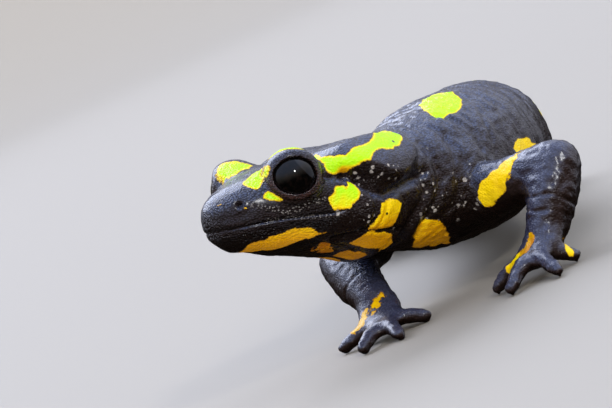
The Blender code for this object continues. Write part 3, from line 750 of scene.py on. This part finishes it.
# Warmth, and points of the frame with radii, in millimetres.
LEG_MARKS = (
    (0.45, ((-54.5, -26.5, 13.4, 0.3), (-55.7, -26.0, 12.9, 0.85), (-56.2, -25.0, 12.4, 1.2))),
    (0.45, ((-56.2, -25.0, 12.4, 1.2), (-56.5, -23.9, 11.8, 1.45), (-56.6, -22.9, 11.2, 1.55))),
    (0.3, ((-56.6, -22.9, 11.2, 1.55), (-56.5, -22.0, 10.7, 1.5), (-56.3, -21.5, 10.2, 1.2))),
    (0.4, ((-54.4, -27.2, 13.3, 0.5), (-55.0, -26.6, 13.2, 0.35))),
    (0.45, ((-61.0, -27.2, 5.0, 0.5), (-61.4, -26.6, 4.8, 0.7))),
    (0.8, ((-61.4, -26.6, 4.8, 0.7), (-62.4, -25.7, 4.2, 0.85), (-63.1, -25.0, 3.6, 0.9))),
    (0.45, ((-63.1, -24.6, 3.5, 0.9), (-63.9, -23.7, 3.0, 1.05))),
    (0.3, ((-59.3, -28.9, 3.0, 0.45), (-61.7, -30.1, 1.6, 0.6))),
    (0.6, ((-61.8, -6.6, 4.3, 0.6), (-63.1, -6.0, 3.9, 0.75), (-63.8, -5.2, 3.4, 0.8))),
    (0.6, ((-63.8, -5.2, 3.4, 0.8), (-64.2, -4.2, 2.9, 0.8), (-64.6, -3.0, 2.4, 0.7))),
    (0.5, ((-59.8, -29.5, 7.1, 0.22), (-59.8, -29.5, 7.2, 0.22))),
    (0.5, ((-60.1, -29.0, 5.9, 0.22), (-60.1, -29.0, 5.8, 0.22))),
    (0.15, ((-52.4, -1.0, 13.4, 1.0), (-54.4, 1.6, 12.2, 1.5))),
    (0.15, ((4.0, 0.6, 12.0, 1.6), (3.2, -4.6, 12.3, 2.0))),
    (0.15, ((6.4, -8.6, 8.4, 1.1), (8.6, -8.0, 6.0, 0.9))),
    (0.15, ((1.3, 11.5, 12.0, 1.7), (1.6, 16.0, 12.2, 2.0))),
    (0.15, ((6.0, 19.9, 8.6, 1.2), (8.0, 20.2, 6.4, 0.9))),
)
SPOT_WANDER, SPOT_WANDER_SIZE = 1.25, 2.8
EDGE_WANDER, EDGE_WANDER_SIZE = 0.13, 0.8
FAR_FROM_PATCH = -3.0
# The trunk's patches stop at the legs, where the skin is further out than TRUNK_ROOM times the average girth
# and TRUNK_EDGE millimetres. Spots less than RUST_UNDER millimetres in half length are rust coloured.
TRUNK_EDGE, TRUNK_ROOM = 1.7, 1.12
SPOT_WARMTH, RUST_WARMTH, RUST_UNDER = -0.1, 0.5, 0.4


def hexed(code):
    """An sRGB hex colour as linear red, green, blue and full cover."""
    parts = [int(code[at : at + 2], 16) / 255 for at in (1, 3, 5)]
    return tuple(p / 12.92 if p <= 0.04045 else ((p + 0.055) / 1.055) ** 2.4 for p in parts) + (1,)


def uneven(size):
    """Smooth unevenness at the skin's vertices, about -0.7 to 0.7, with dents of this many millimetres."""
    return np.array([noise.noise(Vector(point / MM) / size) for point in points])


points = places()
back, degrees, out, _ = measure(points)
within_trunk = TRUNK_EDGE - (out - TRUNK_ROOM * np.interp(back, *np.array(GIRTH, float).T))
yellow = np.full(len(points), FAR_FROM_PATCH)
warmth = np.zeros(len(points))


def paint(inside, warm):
    """Adds one patch, from how far inside it each vertex lies, in millimetres."""
    higher = inside > yellow
    yellow[higher] = inside[higher]
    warmth[higher] = warm


for warm, outline in LEFT_HEAD + LEFT_BODY:
    paint(np.minimum(inside_by(outline, back, degrees), within_trunk), warm)
paint(np.minimum(inside_by(RIGHT_LID, back, degrees), within_trunk), -0.5)
for number in MIRRORED_ON_RIGHT:
    warm, outline = LEFT_HEAD[number]
    other = tuple((at * MIRROR_STRETCH + MIRROR_SHIFT, -turned * MIRROR_TURN) for at, turned in outline)
    paint(np.minimum(inside_by(other, back, degrees), within_trunk), warm)
wander = uneven(SPOT_WANDER_SIZE) * SPOT_WANDER
for at, turned, half_length, half_width, tilt in SPOTS + RUST_DOTS:
    here = unroll(back, degrees, turned) - unroll(np.array([at]), np.array([turned]), turned)
    cosine, sine = math.cos(math.radians(tilt)), math.sin(math.radians(tilt))
    along = (here[:, 0] * cosine + here[:, 1] * sine) / half_length
    across = (here[:, 1] * cosine - here[:, 0] * sine) / half_width
    inside = (1 - np.hypot(along, across)) * half_width + wander * min(half_width, 1)
    paint(np.minimum(inside, within_trunk), RUST_WARMTH if half_length < RUST_UNDER else SPOT_WARMTH)
for warm, chain in LEG_MARKS:
    for start, end in zip(chain, chain[1:]):
        low, high = np.array(start[:3]), np.array(end[:3])
        share = np.clip(((points / MM - low) @ (high - low)) / ((high - low) @ (high - low)), 0, 1)
        apart = np.linalg.norm(points / MM - low - share[:, None] * (high - low), axis=1)
        paint(start[3] + (end[3] - start[3]) * share - apart, warm)
yellow += uneven(EDGE_WANDER_SIZE) * EDGE_WANDER

# Pores that hold the milky poison open over the glands, in the folds behind the jaws and under the eyes.
# Their pale dots are partly the pores themselves and partly painted glints of wet skin.
PORE_AND_GLINT_FIELDS = (
    (0.9, ((14.8, 74), (16.9, 78), (18.9, 82), (21.0, 84))),
    (1.1, ((15.9, 86), (16.6, 93), (17.6, 101), (17.4, 109), (16.8, 117))),
    (1.7, ((26.6, 100), (27.6, 106), (28.4, 114), (27.5, 124), (30.2, 126))),
    (0.8, ((28.8, 96), (30.2, 104), (31.0, 112))),
    (0.5, ((12.6, 111), (13.6, 108))),
    (0.5, ((22.0, 126), (22.4, 134))),
)
FINE_PORE_AND_GLINT_FIELDS = (
    (0.3, ((3.7, 89), (4.7, 94), (6.9, 103), (8.7, 101), (10.1, 98), (11.6, 95))),
    (0.16, ((5.2, 112), (7.4, 110), (9.8, 110), (12.0, 110))),
)
pored_and_glinting = np.zeros(len(points))
finely_pored_and_glinting = np.zeros(len(points))
for fields, marked in ((PORE_AND_GLINT_FIELDS, pored_and_glinting), (FINE_PORE_AND_GLINT_FIELDS, finely_pored_and_glinting)):
    for reach, chain in fields:
        for path in (chain, mirrored(chain)):
            near = 1 - ease(reach * 0.6, reach * 1.3, from_chain(path, back, degrees))
            np.maximum(marked, np.where(within_trunk > 0, near, 0), out=marked)

# How deep each place lies in a lid's rim, from 1 at the edge of the eyeball to 0 off the lid.
lid_rim = np.zeros(len(points))
for side in (1, -1):
    _, over, out_way, openings = round_eye(points, side)
    rim = np.where((out_way > 0) & (openings < 3), 1 - ease(1.16, 1.36, openings), 0)
    lid_rim = np.maximum(lid_rim, rim * (1 - 0.8 * ease(-0.4, 1.4, over)))

# The grain is coarsest in front of the eyes, and black specks lie only in the patches of the head.
snout_grain = 1 - ease(10, 15, on_head(points)[0])
for name, value in (
    ("snout_grain", snout_grain),
    ("specked", 1 - ease(27, 29, back)),
    ("limbs", ease(0.0, 2.0, -within_trunk)),
    ("yellow_mm", yellow),
    ("warmth", warmth),
    ("big_pores_and_glints", pored_and_glinting),
    ("fine_pores_and_glints", finely_pored_and_glinting),
    ("lid_rim", lid_rim),
):
    mark = skin.data.attributes.new(name, "FLOAT", "POINT")
    mark.data.foreach_set("value", value.astype(np.float32))

# Skin's finish
# Wet, scaleless skin over a pigment near black, and bright yellow in the patches. To the eye it is a soft
# sheen over fine grain in rows. Light is painted into the base colour: black that faces up wears a painted
# blue sky sheen, yellow that faces up turns lime, partly its own colour and partly painted skylight, and
# both grow darker and warmer downwards, partly the underside's own tone and partly painted shade. The
# grain's pits hold painted shade, and the pale pores painted glints.
# The first black is a painted blue sky sheen for skin that faces up. The last, for skin that faces down and
# the grain's pits, is partly the underside's own browner tone and partly painted shade.
BLACK_WITH_PAINTED_SKY_SHEEN, BLACK_SIDE, BLACK_BELOW_AND_IN_SHADE = "#3f4763", "#2b1e1b", "#180e0a"
# The first yellow, lime, is partly the patches' own colour and partly painted skylight on skin that faces
# up; the last, orange, is partly their own and partly painted shade on skin that faces down.
YELLOW_LIME_AND_SKYLIGHT, YELLOW_SIDE, YELLOW_ORANGE_AND_SHADE = "#b6ee00", "#ffd800", "#f6aa00"
WARM_BROWN, EDGE_BROWN = "#b06400", "#8a4a08"
# The last colour paints the pale pores, and with them painted glints of wet skin.
LID_BROWN, PALE_PORE_AND_GLINT = "#48291f", "#b0a8a0"
# How far up the skin faces, from -1 to 1, where each colour starts and where it is full.
SIDE_BLACK_FACES, SKY_SHEEN_FACES = (-0.5, 0.1), (-0.03, 0.65)
SIDE_YELLOW_FACES, LIME_AND_SKYLIGHT_FACES = (-0.9, -0.2), (0.15, 0.6)
# Millimetres inside a patch's edge between which its brown edge fades, and between which lime fills in.
EDGE_FADES, LIME_FILLS = (0.02, 0.14), (0.0, 0.35)
# How fully the brown edge and the lid's brown cover, and the share that the limbs keep of the painted sky
# sheen and of the grain's bump and painted pit shade.
EDGE_COVER, LID_COVER, SKY_SHEEN_ON_LIMBS, GRAIN_AND_PIT_SHADE_ON_LIMBS = 0.7, 0.85, 0.65, 0.5
# In the photo rows of grain lie 0.32 mm apart on the side of the snout, as they do with cells of this size.
GRAIN_CELL = (0.34 * MM, 0.24 * MM, 0.23 * MM)
PORE_SPACING, PORE_WARP_SIZE, PORE_WARP = 0.85 * MM, 0.3333 * MM, 0.3 * MM
PORE_SMALL, PORE_LARGE = 0.55, 1.5
FRAY_SIZE, MOTTLE_SIZE, SPECK_SPACING = 0.3125 * MM, 1.4286 * MM, 2.381 * MM
FOLD_SIZE, WRINKLE_SIZE, GLOSS_SIZE = 1.25 * MM, 0.4167 * MM, 2.857 * MM
# Heights in the bump, in tenths of a millimetre. The grain's cells stand up, so theirs is below zero.
GRAIN_BUMP, SNOUT_BUMP, WRINKLE_BUMP, FOLD_BUMP, PORE_BUMP = -1.7, -4.0, 0.5, 2.6, 0.8
BUMP_UNIT = 0.1 * MM
ROUGH_LEAST, ROUGH_MOST = 0.26, 0.42
WET_COAT, WET_COAT_ON_YELLOW, COAT_ROUGHNESS, SPECULAR = 0.55, 0.1, 0.22, 0.22

finish = bpy.data.materials.new("moist_salamander_skin")
finish.use_nodes = True
tree = finish.node_tree
shader = tree.nodes["Principled BSDF"]


def add(kind, links=(), **settings):
    """A node of the current material with its settings, and its inputs set or linked by name or number."""
    node = tree.nodes.new(kind)
    for name, value in settings.items():
        setattr(node, name, value)
    for socket, value in links:
        if isinstance(value, bpy.types.NodeSocket):
            tree.links.new(value, node.inputs[socket])
        else:
            node.inputs[socket].default_value = value
    return node


def blend(share, first, second):
    """The first colour where share is 0 and the second where it is 1."""
    return add("ShaderNodeMix", ((0, share), (6, first), (7, second)), data_type="RGBA").outputs[2]


def ramp(value, low, high, to_low=0.0, to_high=1.0):
    """A value read between two limits and let out between two others, without a sharp bend."""
    links = ((0, value), (1, low), (2, high), (3, to_low), (4, to_high))
    return add("ShaderNodeMapRange", links, interpolation_type="SMOOTHSTEP").outputs[0]


def sums(operation, first, second):
    return add("ShaderNodeMath", ((0, first), (1, second)), operation=operation).outputs[0]


def marked(name):
    return add("ShaderNodeAttribute", attribute_name=name).outputs["Fac"]


place = add("ShaderNodeTexCoord").outputs["Object"]
upward = add("ShaderNodeSeparateXYZ", ((0, add("ShaderNodeNewGeometry").outputs["Normal"]),)).outputs["Z"]
patch = marked("yellow_mm")
frayed = add("ShaderNodeTexNoise", (("Vector", place), ("Scale", 1 / FRAY_SIZE), ("Detail", 2.0)))
patch = sums("ADD", patch, ramp(frayed.outputs["Fac"], 0.3, 0.7, -0.05, 0.05))
warmth = marked("warmth")
mottle = add("ShaderNodeTexNoise", (("Vector", place), ("Scale", 1 / MOTTLE_SIZE), ("Detail", 4.0)))
mottle = mottle.outputs["Fac"]
worn = sums("MULTIPLY", sums("MAXIMUM", warmth, 0.0), ramp(mottle, 0.35, 0.6, -0.8, 0.1))
patch = sums("ADD", patch, worn)
is_yellow = ramp(patch, -0.03, 0.05)
specks = add("ShaderNodeTexVoronoi", (("Vector", place), ("Scale", 1 / SPECK_SPACING)))
chance = add("ShaderNodeSeparateColor", ((0, specks.outputs["Color"]),)).outputs[0]
specks = sums("ADD", specks.outputs["Distance"], ramp(chance, 0.4, 0.5))
specks = sums("MULTIPLY", ramp(specks, 0.12, 0.08), marked("specked"))
is_yellow = sums("MULTIPLY", is_yellow, ramp(specks, 1.0, 0.0))
on_limbs = marked("limbs")
# Painted blue sky sheen on black that faces up, weaker on the limbs.
painted_sky_sheen = sums("MULTIPLY", ramp(upward, *SKY_SHEEN_FACES), ramp(on_limbs, 0.0, 1.0, 1.0, SKY_SHEEN_ON_LIMBS))
# Black grows darker and warmer downwards, partly the underside's own tone and partly painted shade.
black = blend(ramp(upward, *SIDE_BLACK_FACES), hexed(BLACK_BELOW_AND_IN_SHADE), hexed(BLACK_SIDE))
black = blend(painted_sky_sheen, black, hexed(BLACK_WITH_PAINTED_SKY_SHEEN))
black = blend(sums("MULTIPLY", marked("lid_rim"), LID_COVER), black, hexed(LID_BROWN))
# Yellow that faces down is orange, partly the patches' own colour and partly painted shade.
gold = blend(ramp(upward, *SIDE_YELLOW_FACES), hexed(YELLOW_ORANGE_AND_SHADE), hexed(YELLOW_SIDE))
# Yellow that faces up turns lime, partly the patches' own colour and partly painted skylight.
cooler = sums("SUBTRACT", upward, sums("MULTIPLY", warmth, 1.5))
lime_and_skylight = sums("MULTIPLY", ramp(cooler, *LIME_AND_SKYLIGHT_FACES), ramp(patch, *LIME_FILLS))
gold = blend(lime_and_skylight, gold, hexed(YELLOW_LIME_AND_SKYLIGHT))
warm = sums("MULTIPLY", ramp(warmth, 0.2, 0.95), ramp(mottle, 0.3, 0.65, 0.5, 1.0))
gold = blend(warm, gold, hexed(WARM_BROWN))
gold = blend(ramp(patch, *EDGE_FADES, EDGE_COVER, 0.0), gold, hexed(EDGE_BROWN))
warped = add("ShaderNodeTexNoise", (("Vector", place), ("Scale", 1 / PORE_WARP_SIZE))).outputs["Color"]
warped = add("ShaderNodeVectorMath", ((0, warped), (3, PORE_WARP)), operation="SCALE").outputs[0]
warped = add("ShaderNodeVectorMath", ((0, place), (1, warped)), operation="ADD").outputs[0]
cells = add("ShaderNodeTexVoronoi", (("Vector", warped), ("Scale", 1 / PORE_SPACING)))
chance = add("ShaderNodeSeparateColor", ((0, cells.outputs["Color"]),)).outputs[0]
pore_reach = sums("DIVIDE", cells.outputs["Distance"], ramp(chance, 0.0, 1.0, PORE_SMALL, PORE_LARGE))
# Pale dots over the pore fields: partly the pores themselves, partly painted glints.
big_pores_and_glints = sums("MULTIPLY", ramp(pore_reach, 0.26, 0.14, 0.0, 0.95), marked("big_pores_and_glints"))
head_turn = Matrix((head_back, head_left, head_up)).transposed().to_euler()
cell = (("Vector", place), ("Rotation", head_turn), ("Scale", GRAIN_CELL))
rows = add("ShaderNodeMapping", cell, vector_type="TEXTURE").outputs["Vector"]
grain = add("ShaderNodeTexVoronoi", (("Vector", rows), ("Scale", 1.0))).outputs["Distance"]
# Finer pale dots on the grain under the eyes and by the mouth: partly pores, partly painted glints.
fine = sums("MULTIPLY", ramp(grain, 0.46, 0.28, 0.0, 0.6), marked("fine_pores_and_glints"))
pale_pores_and_glints = sums("MAXIMUM", big_pores_and_glints, fine)
grain_bump_and_pit_shade = ramp(on_limbs, 0.0, 1.0, 1.0, GRAIN_AND_PIT_SHADE_ON_LIMBS)
# Painted shade in the pits between the grain's cells, weaker on the limbs.
black = blend(sums("MULTIPLY", ramp(grain, 0.3, 0.62, 0.0, 0.75), grain_bump_and_pit_shade), black, hexed(BLACK_BELOW_AND_IN_SHADE))
# The pale pores and their painted glints.
black = blend(pale_pores_and_glints, black, hexed(PALE_PORE_AND_GLINT))
tree.links.new(blend(is_yellow, black, gold), shader.inputs["Base Color"])

folded = add("ShaderNodeTexNoise", (("Vector", place), ("Scale", 1 / FOLD_SIZE), ("Detail", 3.0)))
wrinkle = add("ShaderNodeTexNoise", (("Vector", place), ("Scale", 1 / WRINKLE_SIZE), ("Detail", 4.0)))
coarse = sums("MULTIPLY", ramp(marked("snout_grain"), 0.0, 1.0, GRAIN_BUMP, SNOUT_BUMP), grain_bump_and_pit_shade)
height = sums("ADD", sums("MULTIPLY", grain, coarse), sums("MULTIPLY", wrinkle.outputs["Fac"], WRINKLE_BUMP))
height = sums("ADD", height, sums("MULTIPLY", folded.outputs["Fac"], FOLD_BUMP))
height = sums("ADD", height, sums("MULTIPLY", pale_pores_and_glints, PORE_BUMP))
height = sums("MULTIPLY", height, ramp(is_yellow, 0.0, 1.0, 1.0, 0.45))
bump = add("ShaderNodeBump", (("Strength", 1.0), ("Distance", BUMP_UNIT), ("Height", height)))
tree.links.new(bump.outputs["Normal"], shader.inputs["Normal"])
gloss = add("ShaderNodeTexNoise", (("Vector", place), ("Scale", 1 / GLOSS_SIZE), ("Detail", 3.0)))
tree.links.new(ramp(gloss.outputs["Fac"], 0.3, 0.7, ROUGH_LEAST, ROUGH_MOST), shader.inputs["Roughness"])
shader.inputs["Specular IOR Level"].default_value = SPECULAR
tree.links.new(ramp(is_yellow, 0.0, 1.0, WET_COAT, WET_COAT_ON_YELLOW), shader.inputs["Coat Weight"])
shader.inputs["Coat Roughness"].default_value = COAT_ROUGHNESS

skin.data.materials.clear()
skin.data.materials.append(finish)
skin.data.shade_smooth()
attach(skin, "root")
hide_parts(*flesh_names)

# Eyeballs
# Each is a wet ball, so dark a brown that the round pupil hardly shows in it, under a clear bulging cornea.
# To the eye it is nearly a black mirror, whose iris is faintly flecked.
EYE_BROWN, EYE_BLACK = "#100a08", "#030303"
FLECK_SIZE, CORNEA_ROUGHNESS, CORNEA_IOR = 0.4 * MM, 0.06, 1.37

finish = bpy.data.materials.new("wet_dark_eye")
finish.use_nodes = True
tree = finish.node_tree
shader = tree.nodes["Principled BSDF"]
place = add("ShaderNodeTexCoord").outputs["Object"]
fleck = add("ShaderNodeTexNoise", (("Vector", place), ("Scale", 1 / FLECK_SIZE), ("Detail", 3.0)))
iris = blend(ramp(fleck.outputs["Fac"], 0.4, 0.7), hexed(EYE_BLACK), hexed(EYE_BROWN))
tree.links.new(iris, shader.inputs["Base Color"])
shader.inputs["Roughness"].default_value = CORNEA_ROUGHNESS
shader.inputs["IOR"].default_value = CORNEA_IOR
for side, name in ((1, "eye_left"), (-1, "eye_right")):
    bpy.ops.object.select_all(action="DESELECT")
    bpy.ops.mesh.primitive_uv_sphere_add(segments=64, ring_count=32, radius=eye_radius)
    ball = bpy.context.object
    ball.name = name + "_ball"
    turn = Matrix(eye_ways[side]).transposed().to_4x4()
    ball.data.transform(Matrix.Translation(eye_centres[side]) @ turn)
    ball.data.shade_smooth()
    ball.data.materials.append(finish)
    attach(ball, "root")
    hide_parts(name)

# Floor and light
# A plain pale floor that curves up far off on every side. The lights are suns, most of them wide and soft,
# so shadows are faint. The skin's gloss shows a blue sky over dark ground, as outdoors, not the floor.
FLOOR_GREY = "#989185"
FLOOR_RADIUS, WALL_RADIUS, WALL_STEPS, WALL_LEAN = 2.0, 1.4, 12, math.radians(80)
SKY_OVERHEAD, SKY_LOW, GROUND = "#c6d8ff", "#dcd6cc", "#1c1612"
SKY_BRIGHT, SKY_DIM = 1.3, 0.9
# Height in the sky, from -1 under the floor to 1 overhead, where each part of it starts and is full.
SKY_FROM, OVERHEAD_FROM = (-0.1, 0.55), (0.2, 0.8)
# Name, the way it shines from, how wide it looks in degrees, power and colour. The soft ones leave no glint.
LIGHTS = (
    ("from_the_left", (-0.46, -0.55, 0.44), 7, 0.9, "#ffffff"),
    ("from_the_side", (0.66, -0.72, 0.32), 80, 1.0, "#e2e9ff"),
    ("from_behind", (0.34, 0.42, 0.56), 52, 3.6, "#e2e9ff"),
    ("soft_fill", (-0.85, -0.45, 0.24), 30, 3.3, "#fff8ee"),
    ("soft_top", (-0.1, -0.1, 1.0), 70, 0.5, "#ffffff"),
)

bpy.ops.object.select_all(action="DESELECT")
bpy.ops.mesh.primitive_circle_add(vertices=96, radius=FLOOR_RADIUS, fill_type="NGON")
floor = bpy.context.object
floor.name = "floor"
bpy.ops.object.mode_set(mode="EDIT")
bpy.ops.mesh.select_mode(type="EDGE")
bpy.ops.mesh.select_all(action="SELECT")
bpy.ops.mesh.region_to_loop()
reach, rise_so_far = FLOOR_RADIUS, 0.0
for step in range(1, WALL_STEPS + 1):
    lean_up = WALL_LEAN * step / WALL_STEPS
    wider = FLOOR_RADIUS + WALL_RADIUS * math.sin(lean_up)
    higher = WALL_RADIUS * (1 - math.cos(lean_up))
    bpy.ops.mesh.extrude_edges_move()
    bpy.ops.transform.resize(value=(wider / reach, wider / reach, 1))
    bpy.ops.transform.translate(value=(0, 0, higher - rise_so_far))
    reach, rise_so_far = wider, higher
bpy.ops.object.mode_set(mode="OBJECT")
floor.data.shade_smooth()
finish = bpy.data.materials.new("pale_studio_floor")
finish.use_nodes = True
tree = finish.node_tree
shader = tree.nodes["Principled BSDF"]
shader.inputs["Base Color"].default_value = hexed(FLOOR_GREY)
shader.inputs["Roughness"].default_value = 0.8
floor.data.materials.append(finish)
floor.visible_glossy = False

world = bpy.context.scene.world or bpy.data.worlds.new("studio")
bpy.context.scene.world = world
world.use_nodes = True
tree = world.node_tree
sky = tree.nodes["Background"]
way_out = add("ShaderNodeTexCoord").outputs["Generated"]
level_of_sky = add("ShaderNodeSeparateXYZ", ((0, way_out),)).outputs["Z"]
overhead = ramp(level_of_sky, *OVERHEAD_FROM)
sky_colour = blend(overhead, hexed(SKY_LOW), hexed(SKY_OVERHEAD))
sky_colour = blend(ramp(level_of_sky, *SKY_FROM), hexed(GROUND), sky_colour)
tree.links.new(sky_colour, sky.inputs["Color"])
tree.links.new(ramp(level_of_sky, *OVERHEAD_FROM, SKY_DIM, SKY_BRIGHT), sky.inputs["Strength"])
for name, way, width, power, colour in LIGHTS:
    bpy.ops.object.light_add(type="SUN", location=way)
    light = bpy.context.object
    light.name = name
    light.data.angle = math.radians(width)
    light.data.energy = power
    light.data.color = hexed(colour)[:3]
    light.rotation_euler = Vector(way).to_track_quat("Z", "Y").to_euler()
    light.visible_glossy = not name.startswith("soft")
